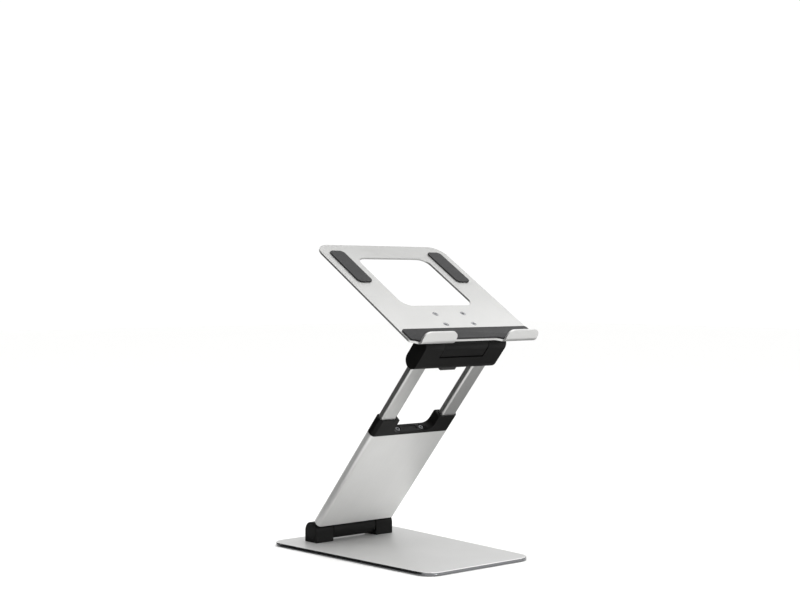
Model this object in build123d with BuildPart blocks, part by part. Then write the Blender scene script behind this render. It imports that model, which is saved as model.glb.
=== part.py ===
from build123d import *
from math import cos, radians, sin
import os

os.makedirs("parts", exist_ok=True)

# Laptop stand. Millimetres, +Z up, +X to the user's right, +Y away from the user.
# The origin is at the middle of the base, on the table.

# Base plate and its pad
base_back_width = 196.0
base_front_width = 166.0
base_depth = 284.0
base_corner = 20.0
plate_thick = 3.8
pad_thick = 0.8
pad_inset = 3.5
base_top = pad_thick + plate_thick

# Lower hinge
hinge_y = 103.2
hinge_z = 18.2
block_radius = 11.7
block_inner = 35.0
block_outer = 61.9
knuckle_half = 34.7
knuckle_chamfer = 1.3

# Arm: s is the distance from the lower hinge axis along the arm
arm_lean = 40.85
sleeve_width = 123.6
sleeve_thick = 12.6
sleeve_edge = 5.0
sleeve_wall = 1.4
sleeve_low = 15.0
sleeve_high = 174.2
web_middle = 35.3
web_thick = 1.5
saddle_high = 178.8
ear_high = 200.4
ear_inner = 31.4
saddle_corner = 8.5

# Rails
rail_middle = 48.1
rail_width = 22.4
rail_thick = 9.2
rail_edge = 2.5
rail_wall = 1.6
rail_low = 122.0
rail_high = 304.0

# Head and upper hinge: the head's section is a slot with round ends
head_half = 63.6
head_radius = 10.4
head_offset = 0.8
head_low_centre = 294.2
pivot_s = 318.0
pocket_low = 305.7

# Tray, in its own frame: origin on the upper hinge axis, y back along the plate, z off the plate
tray_tilt = 32.0
tray_half = 101.0
tray_front = -18.0
tray_back = 191.0
tray_low = 16.1
tray_thick = 2.4
tray_top = tray_low + tray_thick
lip_inner = 40.0
lip_outer = 91.0
lip_face = -26.0
lip_high = 34.7
lip_corner = 9.0
bend_inner = 5.0
liner_thick = 1.8

# Screws
m4_shank = 2.0
m4_head = 3.9
m4_head_high = 2.2
m3_shank = 1.5
m3_head = 2.9
m3_head_high = 1.2
hole_play = 0.05

lean_sin = sin(radians(arm_lean))
lean_cos = cos(radians(arm_lean))
tilt_sin = sin(radians(tray_tilt))
tilt_cos = cos(radians(tray_tilt))
along = Vector(0, -lean_sin, lean_cos)
backward = Vector(0, lean_cos, lean_sin)
tray_along = Vector(0, tilt_cos, tilt_sin)
tray_normal = Vector(0, -tilt_sin, tilt_cos)
hinge_point = Vector(0, hinge_y, hinge_z)


def arm_point(x, back, s):
    """A point given across the arm, behind its mid-plane and along it from the hinge."""
    return hinge_point + Vector(x, 0, 0) + backward * back + along * s


pivot_point = arm_point(0, -head_offset, pivot_s)


def tray_point(x, y, z):
    """A point given in the tray's frame."""
    return pivot_point + Vector(x, 0, 0) + tray_along * y + tray_normal * z


def arm_section(s):
    """A plane across the arm: x to the right, y backward."""
    return Plane(origin=arm_point(0, 0, s), x_dir=(1, 0, 0), z_dir=along)


def arm_side(x):
    """A plane along the arm: x backward, y along it, facing the user's right."""
    return Plane(origin=arm_point(x, 0, 0), x_dir=backward, z_dir=(1, 0, 0))


def arm_front(back):
    """A plane along the arm that faces its front: x to the right, y along it."""
    return Plane(origin=arm_point(0, back, 0), x_dir=(1, 0, 0), z_dir=-backward)


def arm_back(x, s, back):
    """A plane on the arm's back, facing backward, for screws."""
    return Plane(origin=arm_point(x, back, s), x_dir=(1, 0, 0), z_dir=backward)


def tray_level(z):
    """A plane along the tray at the height z: x to the right, y back along the plate."""
    return Plane(origin=tray_point(0, 0, z), x_dir=(1, 0, 0), z_dir=tray_normal)


def tray_side(x):
    """A plane across the tray: x back along the plate, y off the plate."""
    return Plane(origin=tray_point(x, 0, 0), x_dir=tray_along, z_dir=(1, 0, 0))


def outward(side, x, centre):
    """A plane at the distance x to one side on the axis through centre, facing out."""
    return Plane(origin=(side * x, centre.Y, centre.Z), x_dir=(0, 1, 0), z_dir=(side, 0, 0))


def countersunk_screw(head_radius, head_high, shank_radius, length, key):
    """A screw whose flat head lies at the origin, its shank pointing down, with a hex socket."""
    with BuildPart() as screw:
        with BuildSketch(Plane.XZ):
            with BuildLine():
                Polyline(
                    (0, 0),
                    (head_radius, 0),
                    (shank_radius, -head_high),
                    (shank_radius, -length),
                    (0, -length),
                    close=True,
                )
            make_face()
        revolve(axis=Axis.Z)
        with BuildSketch(Plane.XY):
            RegularPolygon(radius=key, side_count=6)
        extrude(amount=-0.7 * head_high, mode=Mode.SUBTRACT)
    return screw.part


def disc_spring(outer, inner, thick, dish):
    """A dished spring washer on the Z axis, its rim at the origin's height."""
    with BuildPart() as spring:
        with BuildSketch(Plane.XZ):
            with BuildLine():
                Polyline(
                    (inner, dish),
                    (outer, 0),
                    (outer, thick),
                    (inner, thick + dish),
                    close=True,
                )
            make_face()
        revolve(axis=Axis.Z)
    return spring.part


def write(builder, name):
    builder.part.label = name
    export_step(builder.part, f"parts/{name}.step")


def base_outline(inset):
    """The base's outline: a trapezium, wide side at the back, moved inward."""
    slope = (base_back_width - base_front_width) / 2 / base_depth
    back_half = base_back_width / 2 - inset * (1 + slope)
    front_half = base_front_width / 2 - inset * (1 - slope)
    end = base_depth / 2 - inset
    return [(-back_half, end), (back_half, end), (front_half, -end), (-front_half, -end)]


# ---- Base ----

block_screw_x = 48.5
block_screw_dy = 7.4
block_screw_spots = [
    (side * block_screw_x, hinge_y + row * block_screw_dy) for side in (-1, 1) for row in (-1, 1)
]
block_screw_planes = [
    Plane(origin=(x, y, pad_thick), x_dir=(1, 0, 0), z_dir=(0, 0, -1)) for x, y in block_screw_spots
]

with BuildPart() as base_plate:
    with BuildSketch(Plane.XY.offset(pad_thick)) as plate_sketch:
        with BuildLine():
            Polyline(*base_outline(0), close=True)
        make_face()
        fillet(plate_sketch.vertices(), base_corner)
    extrude(amount=plate_thick)
    chamfer(base_plate.faces().sort_by(Axis.Z)[-1].edges(), 0.5)
    with Locations(*block_screw_planes):
        CounterSinkHole(m4_shank + hole_play, m4_head + hole_play, depth=plate_thick)
write(base_plate, "base_plate")

with BuildPart() as base_pad:
    with BuildSketch() as pad_sketch:
        with BuildLine():
            Polyline(*base_outline(pad_inset), close=True)
        make_face()
        fillet(pad_sketch.vertices(), base_corner - pad_inset)
        with Locations(*block_screw_spots):
            Circle(m4_head + 0.8, mode=Mode.SUBTRACT)
    extrude(amount=pad_thick)
write(base_pad, "base_pad")

# Friction pack of the lower hinge: pin, bush, springs, washer and nut, from the knuckle outward
lower_pin = 4.0
lower_pin_start = 18.0
lower_bush = 5.0
lower_bore = 8.0
lower_bush_end = 47.0
lower_cap = 8.8
lower_cap_start = 60.1

for side, name in ((-1, "hinge_block_left"), (1, "hinge_block_right")):
    with BuildPart() as hinge_block:
        with BuildSketch(Plane.YZ.offset(min(side * block_inner, side * block_outer))):
            with Locations((hinge_y, hinge_z)):
                Circle(block_radius)
            with Locations((hinge_y, (base_top + hinge_z) / 2)):
                Rectangle(2 * block_radius, hinge_z - base_top)
        extrude(amount=block_outer - block_inner)
        with Locations(outward(side, block_inner, hinge_point)):
            Cylinder(
                lower_bush + hole_play,
                lower_bush_end - block_inner,
                align=(Align.CENTER, Align.CENTER, Align.MIN),
                mode=Mode.SUBTRACT,
            )
        with Locations(outward(side, lower_bush_end, hinge_point)):
            Cylinder(
                lower_bore,
                lower_cap_start - lower_bush_end,
                align=(Align.CENTER, Align.CENTER, Align.MIN),
                mode=Mode.SUBTRACT,
            )
        with Locations(outward(side, lower_cap_start, hinge_point)):
            Cylinder(
                lower_cap + hole_play,
                block_outer - lower_cap_start,
                align=(Align.CENTER, Align.CENTER, Align.MIN),
                mode=Mode.SUBTRACT,
            )
        for row in (-1, 1):
            with Locations((side * block_screw_x, hinge_y + row * block_screw_dy, base_top)):
                Cylinder(
                    m4_shank + hole_play,
                    7.2,
                    align=(Align.CENTER, Align.CENTER, Align.MIN),
                    mode=Mode.SUBTRACT,
                )
    write(hinge_block, name)

block_screw = countersunk_screw(m4_head, m4_head_high, m4_shank, 10.6, 1.45)
with BuildPart() as block_screws:
    with Locations(*block_screw_planes):
        add(block_screw)
write(block_screws, "block_screws")


def friction_pack(prefix, centre, pin_start, pin, bush, bush_end, spring_outer, cap, cap_start, cap_end):
    """The two mirrored friction packs of one hinge, written as six nodes."""
    up = (Align.CENTER, Align.CENTER, Align.MIN)
    spring_thick = 0.9
    spring_dish = 0.25
    spring_pitch = spring_thick + spring_dish + 0.1
    spring_start = bush_end + 0.2
    washer_start = spring_start + 4 * spring_pitch
    nut_start = washer_start + 1.3
    nut_end = nut_start + 4.5
    with BuildPart() as pins:
        for side in (-1, 1):
            with Locations(outward(side, pin_start, centre)):
                Cylinder(pin, nut_end - pin_start, align=up)
    write(pins, f"{prefix}_pins")
    with BuildPart() as bushes:
        for side in (-1, 1):
            with Locations(outward(side, block_inner, centre)):
                Cylinder(bush, bush_end - block_inner, align=up)
                Cylinder(pin + hole_play, bush_end - block_inner, align=up, mode=Mode.SUBTRACT)
    write(bushes, f"{prefix}_bushes")
    spring = disc_spring(spring_outer, pin + 0.3, spring_thick, spring_dish)
    with BuildPart() as springs:
        for side in (-1, 1):
            for turn in range(4):
                with Locations(outward(side, spring_start + turn * spring_pitch, centre)):
                    add(spring)
    write(springs, f"{prefix}_disc_springs")
    with BuildPart() as washers:
        for side in (-1, 1):
            with Locations(outward(side, washer_start, centre)):
                Cylinder(spring_outer, 1.2, align=up)
                Cylinder(pin + 0.1, 1.2, align=up, mode=Mode.SUBTRACT)
    write(washers, f"{prefix}_washers")
    with BuildPart() as nuts:
        for side in (-1, 1):
            with BuildSketch(outward(side, nut_start, centre)):
                RegularPolygon(radius=spring_outer - 0.1, side_count=6)
                Circle(pin + hole_play, mode=Mode.SUBTRACT)
            extrude(amount=nut_end - nut_start)
    write(nuts, f"{prefix}_nuts")
    with BuildPart() as caps:
        for side in (-1, 1):
            with Locations(outward(side, cap_start, centre)):
                Cylinder(cap, cap_end - cap_start, align=up)
    write(caps, f"{prefix}_caps")


friction_pack(
    "lower",
    hinge_point,
    lower_pin_start,
    lower_pin,
    lower_bush,
    lower_bush_end,
    7.4,
    lower_cap,
    lower_cap_start,
    block_outer,
)

# ---- Arm ----

barrel_radius = 11.7
flange_low = 13.0
plug_high = 29.0
plug_thick = 9.2
side_plug_width = 23.4
side_plug_middle = 48.2
centre_plug_half = 34.2
anchor_low = 158.0
foot_screw_spots = [(side * x, 22.0) for side in (-1, 1) for x in (18.0, side_plug_middle)]
anchor_screw_spots = [(side * 24.0, 166.0) for side in (-1, 1)]
sleeve_back = sleeve_thick / 2

with BuildPart() as arm_foot:
    with BuildSketch(arm_side(-knuckle_half)):
        Circle(barrel_radius)
    extrude(amount=2 * knuckle_half)
    chamfer(arm_foot.edges().filter_by(GeomType.CIRCLE), knuckle_chamfer)
    with BuildSketch(arm_side(knuckle_chamfer - knuckle_half)):
        with Locations((0, flange_low / 2)):
            Rectangle(10.6, flange_low)
    extrude(amount=2 * (knuckle_half - knuckle_chamfer))
    with BuildSketch(arm_section(flange_low)):
        RectangleRounded(sleeve_width - 3.0, 10.8, 4.6)
    extrude(amount=sleeve_low - flange_low)
    with BuildSketch(arm_section(sleeve_low)):
        RectangleRounded(2 * centre_plug_half, plug_thick, 1.0)
        with Locations((-side_plug_middle, 0), (side_plug_middle, 0)):
            RectangleRounded(side_plug_width, plug_thick, 3.4)
    extrude(amount=plug_high - sleeve_low)
    for side in (-1, 1):
        with Locations(outward(side, lower_pin_start, hinge_point)):
            Cylinder(
                lower_pin + hole_play,
                knuckle_half,
                align=(Align.CENTER, Align.CENTER, Align.MIN),
                mode=Mode.SUBTRACT,
            )
    with Locations(*[arm_back(x, s, plug_thick / 2) for x, s in foot_screw_spots]):
        Hole(m3_shank + hole_play, depth=7.0)
write(arm_foot, "arm_foot")

with BuildPart() as sleeve:
    with BuildSketch(arm_section(sleeve_low)):
        RectangleRounded(sleeve_width, sleeve_thick, sleeve_edge)
        RectangleRounded(
            sleeve_width - 2 * sleeve_wall,
            sleeve_thick - 2 * sleeve_wall,
            sleeve_edge - sleeve_wall,
            mode=Mode.SUBTRACT,
        )
        with Locations((-web_middle, 0), (web_middle, 0)):
            Rectangle(web_thick, sleeve_thick - sleeve_wall)
    extrude(amount=sleeve_high - sleeve_low)
    with Locations(*[arm_back(x, s, sleeve_back) for x, s in foot_screw_spots + anchor_screw_spots]):
        CounterSinkHole(m3_shank + hole_play, m3_head + hole_play, depth=2 * sleeve_wall)
write(sleeve, "sleeve")

sleeve_screw = countersunk_screw(m3_head, m3_head_high, m3_shank, 8.0, 1.1)
with BuildPart() as sleeve_screws:
    with Locations(*[arm_back(x, s, sleeve_back) for x, s in foot_screw_spots + anchor_screw_spots]):
        add(sleeve_screw)
write(sleeve_screws, "sleeve_screws")

collar_screw_x = 18.6
collar_screw_seat = 176.0
shoe_low = 182.5
shoe_high = 195.5
shoe_half = 3.0
rail_inner = rail_middle - rail_width / 2
rail_play = 0.35

with BuildPart() as collar:
    with BuildSketch(arm_section(sleeve_high)):
        RectangleRounded(sleeve_width, sleeve_thick, sleeve_edge)
    extrude(amount=ear_high - sleeve_high)
    with BuildSketch(arm_front(0)) as saddle_sketch:
        with Locations((0, (saddle_high + ear_high) / 2 + 10)):
            Rectangle(2 * ear_inner, ear_high - saddle_high + 20)
        fillet(saddle_sketch.vertices().group_by(Axis.Z)[0], saddle_corner)
    extrude(amount=sleeve_thick, both=True, mode=Mode.SUBTRACT)
    ear_edges = collar.edges().filter_by(lambda e: abs(e.tangent_at(0).dot(backward)) > 0.999)
    ear_tops = [e for e in ear_edges if abs(abs(e.center().X) - ear_inner) < 0.1]
    fillet([e for e in ear_tops if (e.center() - hinge_point).dot(along) > ear_high - 0.1], 1.8)
    with BuildSketch(arm_section(sleeve_high)):
        with Locations((-rail_middle, 0), (rail_middle, 0)):
            RectangleRounded(rail_width + 2 * rail_play, rail_thick + 0.6, rail_edge)
    extrude(amount=ear_high - sleeve_high, mode=Mode.SUBTRACT)
    # pockets for the brake shoes, open to the rail channels
    with BuildSketch(arm_front(0)):
        for side in (-1, 1):
            with Locations((side * (rail_inner - 2.0), (shoe_low + shoe_high) / 2)):
                Rectangle(3.9, shoe_high - shoe_low + 0.6)
    extrude(amount=shoe_half + 0.2, both=True, mode=Mode.SUBTRACT)
    # recessed screws and a shallow pocket between them
    for side in (-1, 1):
        with Locations(Plane(origin=arm_point(side * collar_screw_x, 0, saddle_high), z_dir=along)):
            CounterBoreHole(m4_shank + hole_play, 4.1, saddle_high - collar_screw_seat, depth=12)
    with BuildSketch(arm_section(saddle_high)):
        RectangleRounded(22.0, 6.4, 2.0)
    extrude(amount=-0.7, mode=Mode.SUBTRACT)
write(collar, "collar")

with BuildPart() as collar_anchor:
    with BuildSketch(arm_section(anchor_low)):
        RectangleRounded(2 * centre_plug_half, plug_thick, 1.0)
    extrude(amount=sleeve_high - anchor_low)
    for side in (-1, 1):
        with Locations(Plane(origin=arm_point(side * collar_screw_x, 0, sleeve_high), z_dir=along)):
            Hole(m4_shank + hole_play, depth=sleeve_high - anchor_low)
    with Locations(*[arm_back(x, s, plug_thick / 2) for x, s in anchor_screw_spots]):
        Hole(m3_shank + hole_play, depth=7.0)
write(collar_anchor, "collar_anchor")

with BuildPart() as collar_screws:
    for side in (-1, 1):
        seat = Plane(origin=arm_point(side * collar_screw_x, 0, collar_screw_seat), z_dir=along)
        with Locations(seat):
            Cylinder(3.3, 2.0, align=(Align.CENTER, Align.CENTER, Align.MIN))
            Cylinder(m4_shank, 14.0, align=(Align.CENTER, Align.CENTER, Align.MAX))
        with BuildSketch(seat.offset(2.0)):
            RegularPolygon(radius=1.45, side_count=6)
        extrude(amount=-1.4, mode=Mode.SUBTRACT)
write(collar_screws, "collar_screws")

with BuildPart() as brake_shoes:
    for side in (-1, 1):
        with BuildSketch(arm_front(0)):
            with Locations((side * (rail_inner - 1.15), (shoe_low + shoe_high) / 2)):
                Rectangle(2.2, shoe_high - shoe_low)
        extrude(amount=shoe_half, both=True)
write(brake_shoes, "brake_shoes")

with BuildPart() as leaf_springs:
    for side in (-1, 1):
        with BuildSketch(arm_front(0)):
            with BuildLine():
                inner_arc = ThreePointArc(
                    (side * (rail_inner - 2.35), shoe_low),
                    (side * (rail_inner - 3.3), (shoe_low + shoe_high) / 2),
                    (side * (rail_inner - 2.35), shoe_high),
                )
                outer_arc = ThreePointArc(
                    (side * (rail_inner - 2.75), shoe_low),
                    (side * (rail_inner - 3.7), (shoe_low + shoe_high) / 2),
                    (side * (rail_inner - 2.75), shoe_high),
                )
                Line(inner_arc @ 0, outer_arc @ 0)
                Line(inner_arc @ 1, outer_arc @ 1)
            make_face()
        extrude(amount=shoe_half - 0.3, both=True)
write(leaf_springs, "leaf_springs")

# ---- Rails and head ----

head_back = head_radius - head_offset
head_screw_spots = [(side * rail_middle, s) for side in (-1, 1) for s in (289.0, 299.0)]

for side, name in ((-1, "rail_left"), (1, "rail_right")):
    with BuildPart() as rail:
        with BuildSketch(arm_section(rail_low)):
            with Locations((side * rail_middle, 0)):
                RectangleRounded(rail_width, rail_thick, rail_edge)
                RectangleRounded(
                    rail_width - 2 * rail_wall,
                    rail_thick - 2 * rail_wall,
                    rail_edge - rail_wall,
                    mode=Mode.SUBTRACT,
                )
        extrude(amount=rail_high - rail_low)
        with Locations(*[arm_back(side * rail_middle, s, rail_thick / 2) for s in (289.0, 299.0)]):
            Hole(m4_shank + hole_play, depth=2 * rail_wall)
    write(rail, name)

slider_thick = 5.0
slider_tongue = 12.0
with BuildPart() as rail_sliders:
    with BuildSketch(arm_section(rail_low - slider_thick)):
        with Locations((-rail_middle, 0), (rail_middle, 0)):
            RectangleRounded(rail_width + 1.2, rail_thick, rail_edge)
    extrude(amount=slider_thick)
    with BuildSketch(arm_section(rail_low)):
        with Locations((-rail_middle, 0), (rail_middle, 0)):
            RectangleRounded(rail_width - 2 * rail_wall - 0.2, rail_thick - 2 * rail_wall - 0.2, 0.8)
    extrude(amount=slider_tongue)
write(rail_sliders, "rail_sliders")

upper_pin = 3.5
upper_pin_start = 17.0
upper_bush = 4.5
upper_bore = 7.2
upper_bush_end = 46.0
upper_cap = 8.0
upper_cap_start = 61.8
socket_low = 280.0
bumper_half = 12.5
bumper_back = 3.2
bumper_low = 278.4

with BuildPart() as head:
    with BuildSketch(arm_side(-head_half)):
        with Locations((-head_offset, (head_low_centre + pivot_s) / 2)):
            SlotCenterToCenter(pivot_s - head_low_centre, 2 * head_radius, rotation=90)
    extrude(amount=2 * head_half)
    with BuildSketch(arm_side(-block_inner)):
        with Locations((-head_offset, pocket_low + head_radius + 6)):
            Rectangle(4 * head_radius, 2 * head_radius + 12)
    extrude(amount=2 * block_inner, mode=Mode.SUBTRACT)
    with BuildSketch(arm_section(socket_low)):
        with Locations((-rail_middle, 0), (rail_middle, 0)):
            RectangleRounded(rail_width + 0.1, rail_thick + 0.1, rail_edge)
    extrude(amount=rail_high - socket_low + 0.1, mode=Mode.SUBTRACT)
    with BuildSketch(arm_section(socket_low)):
        with Locations((0, -head_offset)):
            RectangleRounded(2 * bumper_half + 0.1, 2 * bumper_back + 0.1, 1.5)
    extrude(amount=7.0, mode=Mode.SUBTRACT)
    for side in (-1, 1):
        with Locations(outward(side, block_inner, pivot_point)):
            Cylinder(
                upper_bush + hole_play,
                upper_bush_end - block_inner,
                align=(Align.CENTER, Align.CENTER, Align.MIN),
                mode=Mode.SUBTRACT,
            )
        with Locations(outward(side, upper_bush_end, pivot_point)):
            Cylinder(
                upper_bore,
                upper_cap_start - upper_bush_end,
                align=(Align.CENTER, Align.CENTER, Align.MIN),
                mode=Mode.SUBTRACT,
            )
        with Locations(outward(side, upper_cap_start, pivot_point)):
            Cylinder(
                upper_cap + hole_play,
                head_half - upper_cap_start,
                align=(Align.CENTER, Align.CENTER, Align.MIN),
                mode=Mode.SUBTRACT,
            )
    with Locations(*[arm_back(x, s, head_back) for x, s in head_screw_spots]):
        CounterSinkHole(m4_shank + hole_play, m4_head + hole_play, depth=head_back)
write(head, "head")

with BuildPart() as head_bumper:
    with BuildSketch(arm_section(bumper_low)):
        with Locations((0, -head_offset)):
            RectangleRounded(2 * bumper_half, 2 * bumper_back, 1.5)
    extrude(amount=socket_low + 7.0 - bumper_low)
write(head_bumper, "head_bumper")

head_screw = countersunk_screw(m4_head, m4_head_high, m4_shank, 8.6, 1.45)
with BuildPart() as head_screws:
    with Locations(*[arm_back(x, s, head_back) for x, s in head_screw_spots]):
        add(head_screw)
write(head_screws, "head_screws")

friction_pack(
    "upper",
    pivot_point,
    upper_pin_start,
    upper_pin,
    upper_bush,
    upper_bush_end,
    6.6,
    upper_cap,
    upper_cap_start,
    head_half,
)

# ---- Tray ----

knuckle_radius = 10.1
knuckle_front = 10.2
knuckle_low = 11.4
knuckle_corner = 2.0
foot_low = 12.1
foot_front = -9.0
foot_back = 44.0
neck_front = -8.0
neck_back = 9.0
tray_screw_spots = [(side * 22.0, y) for side in (-1, 1) for y in (14.0, 36.0)]
tray_screw_planes = [
    Plane(origin=tray_point(x, y, tray_top), x_dir=(1, 0, 0), z_dir=tray_normal) for x, y in tray_screw_spots
]

with BuildPart() as tray_knuckle:
    with BuildSketch(arm_side(-knuckle_half)):
        with Locations((-head_offset, pivot_s)):
            Circle(knuckle_radius)
        with BuildLine(Location((-head_offset, pivot_s, 0))):
            Line((0, 0), (-knuckle_front, 0))
            Line((-knuckle_front, 0), (-knuckle_front, knuckle_corner - knuckle_low))
            RadiusArc(
                (-knuckle_front, knuckle_corner - knuckle_low),
                (knuckle_corner - knuckle_front, -knuckle_low),
                -knuckle_corner,
            )
            Line((knuckle_corner - knuckle_front, -knuckle_low), (0, -knuckle_low))
            Line((0, -knuckle_low), (0, 0))
        make_face()
    extrude(amount=2 * knuckle_half)
    long_edges = tray_knuckle.edges().filter_by(lambda e: abs(e.tangent_at(0).dot(along)) > 0.999)
    front_edges = [e for e in long_edges if (e.center() - pivot_point).dot(backward) < -knuckle_radius]
    chamfer(front_edges, knuckle_chamfer)
    with BuildSketch(tray_side(-knuckle_half)):
        with Locations(((neck_front + neck_back) / 2, foot_low / 2)):
            Rectangle(neck_back - neck_front, foot_low)
        with Locations(((foot_front + foot_back) / 2, (foot_low + tray_low) / 2)):
            Rectangle(foot_back - foot_front, tray_low - foot_low)
    extrude(amount=2 * knuckle_half)
    for side in (-1, 1):
        with Locations(outward(side, upper_pin_start, pivot_point)):
            Cylinder(
                upper_pin + hole_play,
                knuckle_half,
                align=(Align.CENTER, Align.CENTER, Align.MIN),
                mode=Mode.SUBTRACT,
            )
    with Locations(*tray_screw_planes):
        Hole(m4_shank + hole_play, depth=tray_top - foot_low + 1)
write(tray_knuckle, "tray_knuckle")

root_depth = 5.0
inner_root = 11.0
outer_root = 6.0
window_half = 56.0
window_front = 54.0
window_back = 162.0
window_corner = 14.0
back_corner = 20.0
diagonal = sin(radians(45))


def bent_profile(thick, inner_radius, face_y, face_z, top, tail):
    """The section of a sheet that lies along the plate and bends up the lip, by its outer faces."""
    outer_radius = inner_radius + thick
    centre_y = face_y + outer_radius
    centre_z = face_z + outer_radius
    Line((tail, face_z), (centre_y, face_z))
    ThreePointArc(
        (centre_y, face_z),
        (centre_y - outer_radius * diagonal, centre_z - outer_radius * diagonal),
        (face_y, centre_z),
    )
    Polyline((face_y, centre_z), (face_y, top), (face_y + thick, top), (face_y + thick, centre_z))
    ThreePointArc(
        (face_y + thick, centre_z),
        (centre_y - inner_radius * diagonal, centre_z - inner_radius * diagonal),
        (centre_y, face_z + thick),
    )
    Polyline((centre_y, face_z + thick), (tail, face_z + thick), (tail, face_z))


def half_outline(front, half, inner, outer, root_in, root_out, tip, back, corner):
    """The right half of a plate with one tongue at its front, seen from above."""
    root_end = front - root_depth
    Line((0, front), (inner - root_in, front))
    EllipticalCenterArc((inner - root_in, root_end), root_in, root_depth, 0, arc_size=90)
    Polyline((inner, root_end), (inner, tip), (outer, tip), (outer, root_end))
    EllipticalCenterArc((outer + root_out, root_end), root_out, root_depth, 90, arc_size=90)
    RadiusArc((outer + root_out, front), (half, front + half - outer - root_out), outer + root_out - half)
    Line((half, front + half - outer - root_out), (half, back - corner))
    RadiusArc((half, back - corner), (half - corner, back), -corner)
    Line((half - corner, back), (0, back))


def corner_cutter(x_start, x_end, corner, top, face_y):
    """What is cut from a lip's two top corners to round them."""
    reach = 4.0
    middle = (x_start + x_end) / 2
    front = Plane(origin=tray_point(0, face_y - reach, 0), x_dir=(1, 0, 0), z_dir=-tray_along)
    with BuildPart() as cutter:
        with BuildSketch(front):
            with Locations((middle, top - corner / 2 + reach / 2)):
                Rectangle(x_end - x_start + 0.2, corner + reach)
            with Locations((middle, top - 2 * corner)):
                RectangleRounded(x_end - x_start, 4 * corner, corner, mode=Mode.SUBTRACT)
        extrude(amount=-3 * reach)
    return cutter.part


liner_inset = 1.5
liner_drop = 3.0
liner_half = 99.0
liner_front = -16.8
liner_back = 4.0
liner_face = lip_face + tray_thick
lip_cutters = []
liner_cutters = []
for side in (-1, 1):
    x_low, x_high = sorted((side * lip_inner, side * lip_outer))
    lip_cutters.append(corner_cutter(x_low, x_high, lip_corner, lip_high, lip_face))
    liner_cutters.append(
        corner_cutter(
            x_low + liner_inset,
            x_high - liner_inset,
            lip_corner - liner_inset,
            lip_high - liner_drop,
            liner_face,
        )
    )

with BuildPart() as tray_plate:
    with BuildSketch(tray_level(tray_low - 1)):
        with BuildLine():
            half_outline(
                tray_front,
                tray_half,
                lip_inner,
                lip_outer,
                inner_root,
                outer_root,
                lip_face - 1,
                tray_back,
                back_corner,
            )
            mirror(about=Plane.YZ)
        make_face()
        with Locations((0, (window_front + window_back) / 2)):
            RectangleRounded(2 * window_half, window_back - window_front, window_corner, mode=Mode.SUBTRACT)
    extrude(amount=lip_high - tray_low + 2)
    with BuildSketch(tray_side(-tray_half - 1)):
        with BuildLine():
            bent_profile(tray_thick, bend_inner, lip_face, tray_low, lip_high, tray_back + 1)
        make_face()
    extrude(amount=2 * tray_half + 2, mode=Mode.INTERSECT)
    add(lip_cutters, mode=Mode.SUBTRACT)
    with Locations(*tray_screw_planes):
        CounterSinkHole(m4_shank + hole_play, m4_head + hole_play, depth=tray_thick)
write(tray_plate, "tray_plate")

tray_screw = countersunk_screw(m4_head, m4_head_high, m4_shank, 6.8, 1.45)
with BuildPart() as tray_screws:
    with Locations(*tray_screw_planes):
        add(tray_screw)
write(tray_screws, "tray_screws")

with BuildPart() as front_liner:
    with BuildSketch(tray_level(tray_top - 1)):
        with BuildLine():
            half_outline(
                liner_front,
                liner_half,
                lip_inner + liner_inset,
                lip_outer - liner_inset,
                inner_root,
                outer_root,
                liner_face - 1,
                liner_back,
                4.0,
            )
            mirror(about=Plane.YZ)
        make_face()
    extrude(amount=lip_high - tray_top + 2)
    with BuildSketch(tray_side(-liner_half - 1)):
        with BuildLine():
            bent_profile(
                liner_thick,
                bend_inner - liner_thick,
                liner_face,
                tray_top,
                lip_high - liner_drop,
                liner_back + 1,
            )
        make_face()
    extrude(amount=2 * liner_half + 2, mode=Mode.INTERSECT)
    add(liner_cutters, mode=Mode.SUBTRACT)
write(front_liner, "front_liner")

with BuildPart() as rear_pads:
    with BuildSketch(tray_level(tray_top)):
        with Locations((-78.5, 140.0), (78.5, 140.0)):
            RectangleRounded(22.0, 70.0, 6.0)
    extrude(amount=liner_thick)
write(rear_pads, "rear_pads")
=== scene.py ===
import math
import bpy
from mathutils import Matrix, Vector


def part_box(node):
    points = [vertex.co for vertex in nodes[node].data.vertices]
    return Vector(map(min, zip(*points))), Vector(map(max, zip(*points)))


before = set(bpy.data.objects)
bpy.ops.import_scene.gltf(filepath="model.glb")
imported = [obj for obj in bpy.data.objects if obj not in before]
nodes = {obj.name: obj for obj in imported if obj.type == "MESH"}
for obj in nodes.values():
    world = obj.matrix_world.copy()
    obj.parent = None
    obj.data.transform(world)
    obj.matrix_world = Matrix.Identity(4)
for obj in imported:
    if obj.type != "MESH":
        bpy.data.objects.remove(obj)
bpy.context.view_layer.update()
scene = bpy.context.scene


def mm(length):
    return length / 1000


def linearColour(hexCode):
    # sRGB hex to the linear values that a shader socket wants
    channels = [int(hexCode[i:i + 2], 16) / 255 for i in (1, 3, 5)]
    linear = [c / 12.92 if c <= 0.04045 else ((c + 0.055) / 1.055) ** 2.4 for c in channels]
    return (*linear, 1.0)


def addNode(tree, kind, settings=None, sockets=None):
    # a socket is given a plain value, another node's output, or a node, which links its first output
    node = tree.nodes.new(kind)
    for name, value in (settings or {}).items():
        setattr(node, name, value)
    for name, value in (sockets or {}).items():
        if isinstance(value, bpy.types.Node):
            value = [output for output in value.outputs if output.enabled][0]
        if isinstance(value, bpy.types.NodeSocket):
            tree.links.new(value, node.inputs[name])
        else:
            node.inputs[name].default_value = value
    return node


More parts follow.
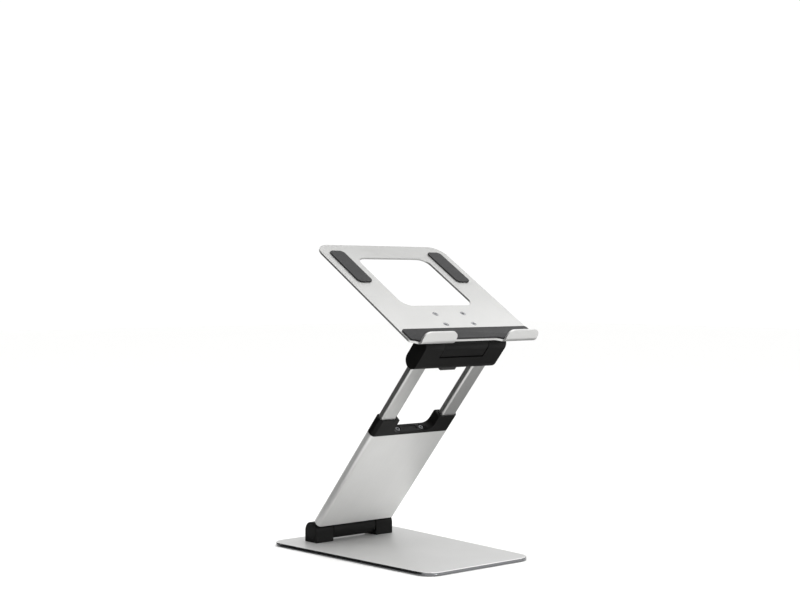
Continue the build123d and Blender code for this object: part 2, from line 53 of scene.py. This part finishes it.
def startMaterial(name, plain=None):
    material = bpy.data.materials.new(name)
    material.use_nodes = True
    tree = material.node_tree
    tree.nodes.clear()
    shader = addNode(tree, "ShaderNodeBsdfPrincipled", None, plain)
    addNode(tree, "ShaderNodeOutputMaterial", None, {"Surface": shader})
    place = addNode(tree, "ShaderNodeTexCoord").outputs["Object"]
    return material, tree, shader, place


noiseLow, noiseHigh = 0.3, 0.7  # nearly all of a noise pattern's values lie between these


def perMm(sizeMm):
    # texture scale at which one lump of the pattern is about sizeMm across
    return 1 / mm(sizeMm)


def joinUp(tree, shader, colour, rough, normal):
    tree.links.new(colour.outputs[2], shader.inputs["Base Color"])
    tree.links.new(rough.outputs[0], shader.inputs["Roughness"])
    tree.links.new(normal.outputs[0], shader.inputs["Normal"])


def dress(material, names):
    for name in names:
        slots = nodes[name].data.materials
        for i in range(len(slots)):
            slots[i] = material


easing = {"weldMm": 0.002, "flatDegrees": 0.6, "segments": 3}


def ease(names, widthMm, sharpDegrees=35):
    # sharp edges get the small radius that tumbling, a mould or a deburring wheel leaves
    for name in names:
        weld = nodes[name].modifiers.new("weld", "WELD")
        weld.merge_threshold = mm(easing["weldMm"])
        flat = nodes[name].modifiers.new("flat", "DECIMATE")
        flat.decimate_type = "DISSOLVE"
        flat.angle_limit = math.radians(easing["flatDegrees"])
        edge = nodes[name].modifiers.new("edge", "BEVEL")
        edge.limit_method = "ANGLE"
        edge.angle_limit = math.radians(sharpDegrees)
        edge.width = mm(widthMm)
        edge.segments = easing["segments"]
        edge.harden_normals = True


# camera: from the front left, at about the height of the tray; places in metres, angles in degrees
cameraSetup = {"place": (-1.17286, -1.36303, 0.32937), "pitch": -0.674, "roll": -0.091, "turn": -40.613,
               "lens": 66.19, "sensor": 36}
lens = bpy.data.cameras.new("camera")
lens.lens = cameraSetup["lens"]
lens.sensor_width = cameraSetup["sensor"]
camera = bpy.data.objects.new("camera", lens)
camera.location = cameraSetup["place"]
angles = (90 + cameraSetup["pitch"], cameraSetup["roll"], cameraSetup["turn"])
camera.rotation_euler = [math.radians(angle) for angle in angles]
scene.collection.objects.link(camera)
scene.camera = camera
print("camera placed")

# Bead-blasted, clear-anodised aluminium plate: blasting leaves a fine even grain that spreads the
# light, and the anodic film takes it down to a soft satin silver. The plate's cut rim was machined
# before anodising, so the chamfer shines; the wall under it is given a darker grey as painted shade.
basePlate = {"dark": "#CACAC9", "light": "#D6D6D5", "rim": "#78797B", "chamfer": "#D0D0D0",
             "metallic": 0.4, "roughness": 0.38, "rimRoughness": 0.2, "grainMm": 0.5, "grainDeepMm": 0.012,
             "cloudMm": 70, "grainShade": 0.93, "scuffMm": (0.5, 45), "scuffShade": 0.04,
             "chamferMm": (0.02, 0.5), "easeMm": 0.12}
trayPlate = dict(basePlate, dark="#C2C2C1", light="#CECECD", metallic=0.9, roughness=0.44, easeMm=0.35)


def blastedAluminium(name, recipe, rimTop=None):
    material, tree, shader, place = startMaterial(name, {"Metallic": recipe["metallic"]})
    # real grit is 0.1 mm, drawn coarser so that it shows
    grain = addNode(tree, "ShaderNodeTexNoise", None, {"Vector": place, "Scale": perMm(recipe["grainMm"])})
    cloud = addNode(tree, "ShaderNodeTexNoise", None,
                    {"Vector": place, "Scale": perMm(recipe["cloudMm"]), "Detail": 3.0})
    tone = addNode(tree, "ShaderNodeMix", {"data_type": "RGBA"},
                   {"Factor": cloud, 6: linearColour(recipe["dark"]), 7: linearColour(recipe["light"])})
    grit = addNode(tree, "ShaderNodeMapRange", None,
                   {"Value": grain, "From Min": noiseLow, "From Max": noiseHigh,
                    "To Min": recipe["grainShade"]})
    tone = addNode(tree, "ShaderNodeMix", {"data_type": "RGBA", "blend_type": "MULTIPLY"},
                   {"Factor": 1.0, 6: tone, 7: grit})
    # hands and wiping leave long faint strokes where the satin is a little smoother
    across, lengthwise = recipe["scuffMm"]
    stroke = addNode(tree, "ShaderNodeMapping", None,
                     {"Vector": place, "Rotation": (0, 0, 0.5), "Scale": (across / lengthwise, 1, 1)})
    scuff = addNode(tree, "ShaderNodeTexNoise", None, {"Vector": stroke, "Scale": perMm(across)})
    rubbed = addNode(tree, "ShaderNodeMapRange", None,
                     {"Value": scuff, "From Min": 0.62, "From Max": 0.75, "To Max": recipe["scuffShade"]})
    satin = addNode(tree, "ShaderNodeMapRange", None,
                    {"Value": grain, "From Min": noiseLow, "From Max": noiseHigh,
                     "To Min": recipe["roughness"] - 0.03,
                     "To Max": recipe["roughness"] + 0.03})
    rough = addNode(tree, "ShaderNodeMath", {"operation": "SUBTRACT"}, {0: satin, 1: rubbed})
    if rimTop:
        # the rim is told from the face by its height over the table
        height = addNode(tree, "ShaderNodeSeparateXYZ", None, {"Vector": place}).outputs["Z"]
        chamferHigh, chamferLow = (mm(rimTop - drop) for drop in recipe["chamferMm"])
        onFace = addNode(tree, "ShaderNodeMath", {"operation": "GREATER_THAN"}, {0: height, 1: chamferHigh})
        onWall = addNode(tree, "ShaderNodeMath", {"operation": "LESS_THAN"}, {0: height, 1: chamferLow})
        # the wall below the chamfer gets the darker rim grey: painted shade on the plate's side wall
        edge = addNode(tree, "ShaderNodeMix", {"data_type": "RGBA"},
                       {"Factor": onWall, 6: linearColour(recipe["chamfer"]), 7: linearColour(recipe["rim"])})
        tone = addNode(tree, "ShaderNodeMix", {"data_type": "RGBA"}, {"Factor": onFace, 6: edge, 7: tone})
        rough = addNode(tree, "ShaderNodeMapRange", None,
                        {"Value": onFace, "To Min": recipe["rimRoughness"], "To Max": rough})
        # blasting hazes the face, while the cut rim stays bare bright metal under the film
        bare = addNode(tree, "ShaderNodeMapRange", None,
                       {"Value": onFace, "To Min": 1.0, "To Max": recipe["metallic"]})
        tree.links.new(bare.outputs["Result"], shader.inputs["Metallic"])
    dents = addNode(tree, "ShaderNodeBump", None, {"Height": grain, "Distance": mm(recipe["grainDeepMm"])})
    joinUp(tree, shader, tone, rough, dents)
    return material


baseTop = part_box("base_plate")[1].z * 1000
dress(blastedAluminium("blastedAnodisedPlate", basePlate, baseTop), ["base_plate"])
dress(blastedAluminium("blastedAnodisedTray", trayPlate), ["tray_plate"])
ease(["base_plate"], basePlate["easeMm"], 50)
ease(["tray_plate"], trayPlate["easeMm"])
print("base and tray in blasted aluminium")

# Drawn aluminium tube, satin anodised: the die leaves faint lines along its length, which the etch
# softens, so that the face is even and the rounded edge carries one long highlight.
armLean = math.radians(40.85)
sleeveTube = {"dark": "#CFCFCE", "light": "#DBDBDA", "metallic": 0.62, "roughness": 0.42, "lineMm": 0.6,
              "lineLongMm": 90, "lineDeepMm": 0.006, "lineShade": 0.95, "grainMm": 0.45, "grainDeepMm": 0.008,
              "cloudMm": 60, "easeMm": 0.4}
railTube = dict(sleeveTube, dark="#BABAB9", light="#C8C8C7", metallic=0.95, roughness=0.38, easeMm=0.2)


def drawnAluminium(name, recipe):
    material, tree, shader, place = startMaterial(name, {"Metallic": recipe["metallic"]})
    # turned so that the tube's length runs along the pattern's Z, then stretched that way
    turned = addNode(tree, "ShaderNodeMapping", None, {"Vector": place, "Rotation": (-armLean, 0, 0)})
    stretch = (1, 1, recipe["lineMm"] / recipe["lineLongMm"])
    drawn = addNode(tree, "ShaderNodeMapping", None, {"Vector": turned, "Scale": stretch})
    # real die lines are 0.1 mm apart, drawn coarser so that they show
    line = addNode(tree, "ShaderNodeTexNoise", None,
                   {"Vector": drawn, "Scale": perMm(recipe["lineMm"]), "Detail": 3.0})
    grain = addNode(tree, "ShaderNodeTexNoise", None, {"Vector": place, "Scale": perMm(recipe["grainMm"])})
    cloud = addNode(tree, "ShaderNodeTexNoise", None,
                    {"Vector": place, "Scale": perMm(recipe["cloudMm"]), "Detail": 3.0})
    tone = addNode(tree, "ShaderNodeMix", {"data_type": "RGBA"},
                   {"Factor": cloud, 6: linearColour(recipe["dark"]), 7: linearColour(recipe["light"])})
    stripe = addNode(tree, "ShaderNodeMapRange", None,
                     {"Value": line, "From Min": noiseLow, "From Max": noiseHigh,
                      "To Min": recipe["lineShade"]})
    tone = addNode(tree, "ShaderNodeMix", {"data_type": "RGBA", "blend_type": "MULTIPLY"},
                   {"Factor": 1.0, 6: tone, 7: stripe})
    rough = addNode(tree, "ShaderNodeMapRange", None,
                    {"Value": line, "From Min": noiseLow, "From Max": noiseHigh,
                     "To Min": recipe["roughness"] - 0.04,
                     "To Max": recipe["roughness"] + 0.04})
    lines = addNode(tree, "ShaderNodeBump", None, {"Height": line, "Distance": mm(recipe["lineDeepMm"])})
    etch = addNode(tree, "ShaderNodeBump", None,
                   {"Height": grain, "Distance": mm(recipe["grainDeepMm"]), "Normal": lines})
    joinUp(tree, shader, tone, rough, etch)
    return material


dress(drawnAluminium("satinAnodisedSleeve", sleeveTube), ["sleeve"])
dress(drawnAluminium("satinAnodisedRail", railTube), ["rail_left", "rail_right"])
ease(["sleeve"], sleeveTube["easeMm"])
ease(["rail_left", "rail_right"], railTube["easeMm"])
print("sleeve and rails in drawn aluminium")

# Black powder coat baked on a die casting: a faint orange-peel skin with low gloss. Hands have
# rubbed the coat a little smoother in patches, and dust keeps it from being a dead black.
casting = {"dark": "#090909", "light": "#10100F", "roughness": 0.46, "gloss": 0.1, "ior": 1.5,
           "peelMm": 1.1, "peelDeepMm": 0.03, "grainMm": 0.35, "grainDeepMm": 0.012, "cloudMm": 28,
           "easeMm": 0.5}
# Glass-filled nylon with a spark-eroded mould texture: a finer grain than the coat and a drier
# black.
moulding = dict(casting, dark="#070707", light="#0E0E0D", roughness=0.4, gloss=0.11, ior=1.53,
                peelMm=2.5, peelDeepMm=0.01, grainMm=0.4, grainDeepMm=0.02, easeMm=0.45)
# Natural acetal, cut from rod: a milky white with a waxy, even sheen.
acetalPart = dict(casting, dark="#E4E3DC", light="#EEEDE7", roughness=0.35, gloss=0.5, ior=1.48,
                  peelMm=2.0, peelDeepMm=0.005, grainMm=0.5, grainDeepMm=0.004)


def hardPolymer(name, recipe):
    plain = {"IOR": recipe["ior"], "Specular IOR Level": recipe["gloss"]}
    material, tree, shader, place = startMaterial(name, plain)
    peel = addNode(tree, "ShaderNodeTexNoise", None, {"Vector": place, "Scale": perMm(recipe["peelMm"])})
    grain = addNode(tree, "ShaderNodeTexNoise", None, {"Vector": place, "Scale": perMm(recipe["grainMm"])})
    cloud = addNode(tree, "ShaderNodeTexNoise", None,
                    {"Vector": place, "Scale": perMm(recipe["cloudMm"]), "Detail": 3.0})
    tone = addNode(tree, "ShaderNodeMix", {"data_type": "RGBA"},
                   {"Factor": cloud, 6: linearColour(recipe["dark"]), 7: linearColour(recipe["light"])})
    rough = addNode(tree, "ShaderNodeMapRange", None,
                    {"Value": cloud, "From Min": noiseLow, "From Max": noiseHigh,
                     "To Min": recipe["roughness"] - 0.06,
                     "To Max": recipe["roughness"] + 0.05})
    skin = addNode(tree, "ShaderNodeBump", None, {"Height": peel, "Distance": mm(recipe["peelDeepMm"])})
    texture = addNode(tree, "ShaderNodeBump", None,
                      {"Height": grain, "Distance": mm(recipe["grainDeepMm"]), "Normal": skin})
    joinUp(tree, shader, tone, rough, texture)
    return material


castings = ["hinge_block_left", "hinge_block_right", "arm_foot", "head", "tray_knuckle"]
dress(hardPolymer("blackPowderCoat", casting), castings)
dress(hardPolymer("blackGlassNylon", moulding), ["collar", "lower_caps", "upper_caps"])
dress(hardPolymer("naturalAcetal", acetalPart), ["brake_shoes", "rail_sliders"])
ease(castings, casting["easeMm"])
ease(["collar"], moulding["easeMm"])
print("castings and mouldings in black")

# Matte silicone rubber: soft, slightly dusty, with a fine tooth that grips. It has almost no
# gloss, only a pale bloom where it is seen edge on.
gripSilicone = {"dark": "#161617", "light": "#212122", "roughness": 0.72, "ior": 1.41, "gloss": 0.3,
                "sheen": 0.15, "toothMm": 0.45, "toothDeepMm": 0.03, "cloudMm": 25, "dust": "#3A3A39",
                "dustMm": 0.9, "easeMm": 0.5}


def softSilicone(name, recipe):
    plain = {"IOR": recipe["ior"], "Sheen Weight": recipe["sheen"], "Specular IOR Level": recipe["gloss"]}
    material, tree, shader, place = startMaterial(name, plain)
    tooth = addNode(tree, "ShaderNodeTexVoronoi", {"feature": "SMOOTH_F1"},
                    {"Vector": place, "Scale": perMm(recipe["toothMm"]), "Smoothness": 0.6})
    cloud = addNode(tree, "ShaderNodeTexNoise", None,
                    {"Vector": place, "Scale": perMm(recipe["cloudMm"]), "Detail": 3.0})
    speck = addNode(tree, "ShaderNodeTexNoise", None, {"Vector": place, "Scale": perMm(recipe["dustMm"])})
    tone = addNode(tree, "ShaderNodeMix", {"data_type": "RGBA"},
                   {"Factor": cloud, 6: linearColour(recipe["dark"]), 7: linearColour(recipe["light"])})
    settled = addNode(tree, "ShaderNodeMapRange", None,
                      {"Value": speck, "From Min": 0.66, "From Max": 0.8, "To Max": 0.5})
    tone = addNode(tree, "ShaderNodeMix", {"data_type": "RGBA"},
                   {"Factor": settled, 6: tone, 7: linearColour(recipe["dust"])})
    rough = addNode(tree, "ShaderNodeMapRange", None,
                    {"Value": cloud, "From Min": noiseLow, "From Max": noiseHigh,
                     "To Min": recipe["roughness"] - 0.06,
                     "To Max": recipe["roughness"] + 0.06})
    bite = addNode(tree, "ShaderNodeBump", None, {"Height": tooth, "Distance": mm(recipe["toothDeepMm"])})
    joinUp(tree, shader, tone, rough, bite)
    return material


silicones = ["front_liner", "rear_pads", "head_bumper", "base_pad"]
dress(softSilicone("matteSilicone", gripSilicone), silicones)
ease(["front_liner", "rear_pads", "head_bumper"], gripSilicone["easeMm"])
print("liner and pads in silicone")

# Turned and zinc-plated steel: bright, with a fine tool texture softened by the plating.
platedSteel = {"dark": "#8E8F91", "light": "#B9BABC", "roughness": 0.26, "toolMm": 0.5,
               "toolDeepMm": 0.004, "cloudMm": 6, "easeMm": 0.15}
# The same steel on the two screws down in the collar, darkened as painted shade of their recesses, with a
# hard glint.
collarScrewPaintedShade = dict(platedSteel, dark="#47484A", light="#6A6B6D", roughness=0.2)
# Hardened spring steel, oiled: darker and bluer than the plated parts.
springSteel = dict(platedSteel, dark="#5B5F66", light="#7C8087", roughness=0.34)
# Sintered bronze bush, oil-filled: a warm brown metal with open pores.
sinteredBronze = dict(platedSteel, dark="#7A5A34", light="#A37C48", roughness=0.48, toolMm=0.3,
                      toolDeepMm=0.02)
# Zinc casting straight from the die: a dull mottled grey.
rawCasting = dict(platedSteel, dark="#8A8C8E", light="#A2A4A5", roughness=0.5, toolMm=0.8, toolDeepMm=0.02)


def turnedMetal(name, recipe):
    material, tree, shader, place = startMaterial(name, {"Metallic": 1.0})
    tooled = addNode(tree, "ShaderNodeTexNoise", None, {"Vector": place, "Scale": perMm(recipe["toolMm"])})
    cloud = addNode(tree, "ShaderNodeTexNoise", None,
                    {"Vector": place, "Scale": perMm(recipe["cloudMm"]), "Detail": 3.0})
    tone = addNode(tree, "ShaderNodeMix", {"data_type": "RGBA"},
                   {"Factor": cloud, 6: linearColour(recipe["dark"]), 7: linearColour(recipe["light"])})
    rough = addNode(tree, "ShaderNodeMapRange", None,
                    {"Value": cloud, "From Min": noiseLow, "From Max": noiseHigh,
                     "To Min": recipe["roughness"] - 0.06,
                     "To Max": recipe["roughness"] + 0.06})
    marks = addNode(tree, "ShaderNodeBump", None, {"Height": tooled, "Distance": mm(recipe["toolDeepMm"])})
    joinUp(tree, shader, tone, rough, marks)
    return material


screws = ["block_screws", "sleeve_screws", "head_screws", "tray_screws"]
turned = ["lower_pins", "lower_washers", "lower_nuts", "upper_pins", "upper_washers", "upper_nuts"]
springs = ["lower_disc_springs", "upper_disc_springs", "leaf_springs"]
dress(turnedMetal("platedSteel", platedSteel), screws + turned)
# the collar screws' dark grey is painted shade for the recesses they sit in
dress(turnedMetal("collarScrewSteelPaintedShade", collarScrewPaintedShade), ["collar_screws"])
dress(turnedMetal("springSteel", springSteel), springs)
dress(turnedMetal("sinteredBronze", sinteredBronze), ["lower_bushes", "upper_bushes"])
dress(turnedMetal("rawDieCasting", rawCasting), ["collar_anchor"])
ease(screws + ["collar_screws"], platedSteel["easeMm"])
print("screws, pins, springs and bushes dressed")

# studio: white all round, with soft boxes overhead, to the right and in front
stage = {"floor": "#FAFAF9", "floorHalf": 8, "sky": 1.04, "aim": (0, 0, 0.12),
         "overheadBox": {"place": (0.1, -0.4, 1.9), "size": (1.6, 1.4), "power": 9},
         "rightBox": {"place": (0.95, -0.15, 1.15), "size": (1.4, 1.4), "power": 5},
         "frontBox": {"place": (0.25, -1.3, 0.95), "size": (1.8, 1.2), "power": 4.5},
         "lowSpot": {"place": (0.02, -0.75, 0.05), "aim": (-0.03, 0.08, 0.05), "cone": 15,
                     "radius": 0.05, "power": 8}}
# cards that only the reflections see: black ones behind and under the left side, and grey ones
# far behind, low on the right and over the tray; each has its shade and its four corners in metres
cards = {
    "blackCard": ("#050505", ((-0.95, -0.1, 0), (-0.12, 0.75, 0), (-0.12, 0.75, 1.1), (-0.95, -0.1, 1.1))),
    "blackGround": ("#050505", ((-0.95, 0, 0.002), (-0.13, 0.05, 0.002),
                                (-0.1, 0.75, 0.002), (-0.95, 0.75, 0.002))),
    "edgeStrip": ("#050505", ((-0.13, 0.13, 0.001), (-0.118, -0.14, 0.001), (-0.085, -0.14, 0.001),
                              (-0.098, 0.13, 0.001))),
    "greyBack": ("#707070", ((0.2, 1.3, 0), (1.6, 0.1, 0), (1.6, 0.1, 0.3), (0.2, 1.3, 0.3))),
    "greyGround": ("#747474", ((0.12, -0.2, 0.003), (1.7, -0.2, 0.003),
                               (1.7, 0.9, 0.003), (0.12, 0.9, 0.003))),
    "greySky": ("#D2D2D2", ((0.1, 0.02, 0.75), (0.75, 0.02, 0.75), (0.75, 0.6, 0.75), (0.1, 0.6, 0.75)))}


def hangLamp(name, kind, setup, aim):
    lamp = bpy.data.lights.new(name, kind)
    lamp.energy = setup["power"]
    light = bpy.data.objects.new(name, lamp)
    light.location = setup["place"]
    light.rotation_euler = (Vector(aim) - Vector(setup["place"])).to_track_quat("-Z", "Y").to_euler()
    scene.collection.objects.link(light)
    return light


def stageSheet(name, corners, hexCode):
    mesh = bpy.data.meshes.new(name)
    mesh.from_pydata(corners, [], [(0, 1, 2, 3)])
    sheet = bpy.data.objects.new(name, mesh)
    scene.collection.objects.link(sheet)
    mesh.materials.append(startMaterial(name, {"Base Color": linearColour(hexCode), "Roughness": 0.9})[0])
    return sheet


world = bpy.data.worlds.new("studio")
scene.world = world
world.use_nodes = True
world.node_tree.nodes["Background"].inputs["Color"].default_value = (1.0, 1.0, 1.0, 1.0)
world.node_tree.nodes["Background"].inputs["Strength"].default_value = stage["sky"]
scene.view_settings.view_transform = "Standard"
for name in ("overheadBox", "rightBox", "frontBox"):
    box = hangLamp(name, "AREA", stage[name], stage["aim"]).data
    box.shape = "RECTANGLE"
    box.size, box.size_y = stage[name]["size"]
# a narrow lamp near the table that opens up the shade at the foot of the arm
lowSpot = hangLamp("lowSpot", "SPOT", stage["lowSpot"], stage["lowSpot"]["aim"])
lowSpot.visible_camera = False
lowSpot.data.spot_size = math.radians(stage["lowSpot"]["cone"])
lowSpot.data.spot_blend = 1.0
lowSpot.data.shadow_soft_size = stage["lowSpot"]["radius"]
half = stage["floorHalf"]
stageSheet("floor", [(-half, -half, 0), (half, -half, 0), (half, half, 0), (-half, half, 0)], stage["floor"])
for name, (shade, corners) in cards.items():
    card = stageSheet(name, corners, shade)
    card.visible_camera = card.visible_diffuse = card.visible_shadow = False
print("stage lit")
